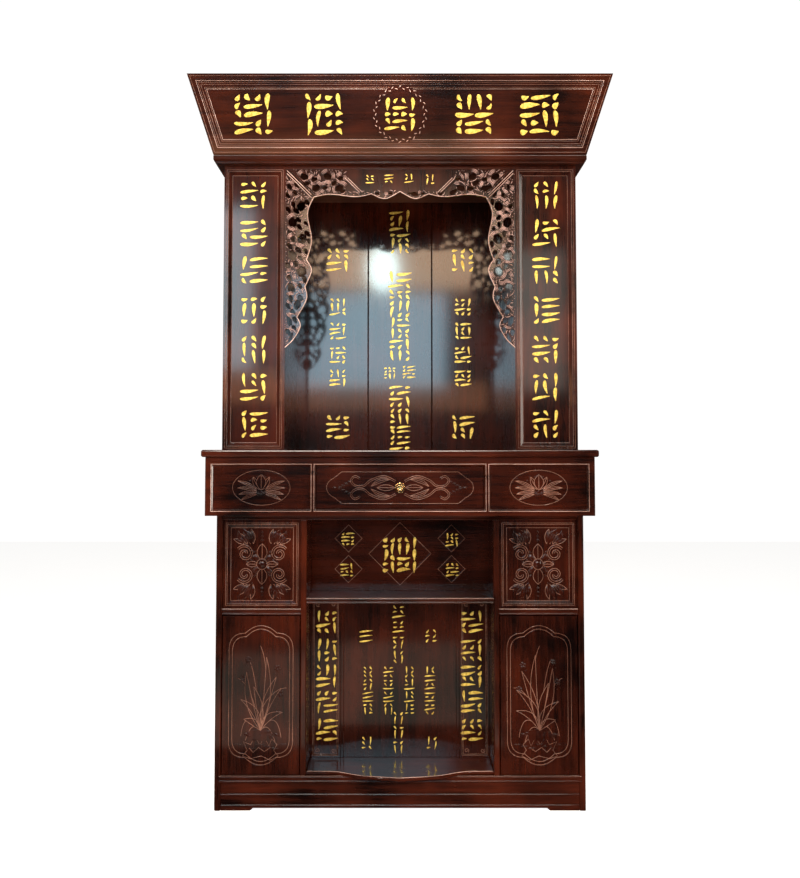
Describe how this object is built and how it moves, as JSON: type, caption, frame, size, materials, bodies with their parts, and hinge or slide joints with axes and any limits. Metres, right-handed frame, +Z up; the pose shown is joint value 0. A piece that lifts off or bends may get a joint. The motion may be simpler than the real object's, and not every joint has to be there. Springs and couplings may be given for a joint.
{
  "type": "household altar cabinet",
  "caption": "Tall lacquered wooden altar cabinet: cupboard base with carved doors, drawer tier under a table top, an open niche with openwork fringe, and a flared cornice.",
  "frame": {"origin": "centre of the whole cabinet's footprint, on the floor", "axes": "+Z up, +X to the right seen from the front, +Y from the front to the back, so the front faces -Y"},
  "size_m": [1.402, 0.56, 2.39],
  "materials": {
    "frame_wood": "glossy red-brown lacquer",
    "panel_wood": "glossy dark lacquer",
    "carved_wood": "carved and lacquered",
    "hidden_wood": "plain satin",
    "brass": "polished"
  },
  "bodies": {
    "carcass": {"base_side_left": "frame_wood", "base_side_right": "frame_wood", "base_partition_left": "frame_wood", "base_partition_right": "frame_wood", "base_back": "hidden_wood", "base_floor": "hidden_wood", "base_top": "frame_wood", "mid_rail_left": "frame_wood", "mid_rail_right": "frame_wood", "plinth_rail": "frame_wood", "base_board": "frame_wood", "carved_panel_left": "panel_wood", "carved_panel_right": "panel_wood", "recess_shelf": "frame_wood", "recess_back": "panel_wood", "lower_niche_board_left": "panel_wood", "lower_niche_board_right": "panel_wood", "lower_niche_centre": "panel_wood", "lower_niche_shelf": "frame_wood", "tier_frame": "frame_wood", "tier_oval_front_left": "panel_wood", "tier_oval_front_right": "panel_wood", "tier_side_left": "frame_wood", "tier_side_right": "frame_wood", "tier_back": "hidden_wood", "tier_bottom": "hidden_wood", "tier_partition_left": "hidden_wood", "tier_partition_right": "hidden_wood", "table_top": "frame_wood", "upper_side_left": "frame_wood", "upper_side_right": "frame_wood", "upper_back": "hidden_wood", "niche_ceiling": "hidden_wood", "head_rail": "frame_wood", "pilaster_left": "frame_wood", "pilaster_right": "frame_wood", "niche_wall_left": "panel_wood", "niche_wall_right": "panel_wood", "niche_back_left": "panel_wood", "niche_back_centre": "panel_wood", "niche_back_right": "panel_wood", "fringe_left": "carved_wood", "fringe_right": "carved_wood", "fringe_top": "carved_wood", "cornice_front": "frame_wood", "cornice_side_left": "frame_wood", "cornice_side_right": "frame_wood", "cornice_back": "hidden_wood", "cornice_top": "hidden_wood", "cornice_band": "frame_wood"},
    "drawer": {"drawer_front": "panel_wood", "drawer_side_left": "hidden_wood", "drawer_side_right": "hidden_wood", "drawer_back": "hidden_wood", "drawer_bottom": "hidden_wood", "drawer_knob": "brass"},
    "left_door": {"door_left": "panel_wood"},
    "right_door": {"door_right": "panel_wood"}
  },
  "joints": [
    {"name": "drawer_slide", "type": "slide", "parent": "carcass", "child": "drawer", "axis": [0, -1, 0], "range_m": [0, 0.3]},
    {"name": "left_door_hinge", "type": "hinge", "parent": "carcass", "child": "left_door", "pos_m": [-0.5735, -0.2185, 0.365], "axis": [0, 0, -1], "range_deg": [0, 100]},
    {"name": "right_door_hinge", "type": "hinge", "parent": "carcass", "child": "right_door", "pos_m": [0.5735, -0.2185, 0.365], "axis": [0, 0, 1], "range_deg": [0, 100]}
  ]
}
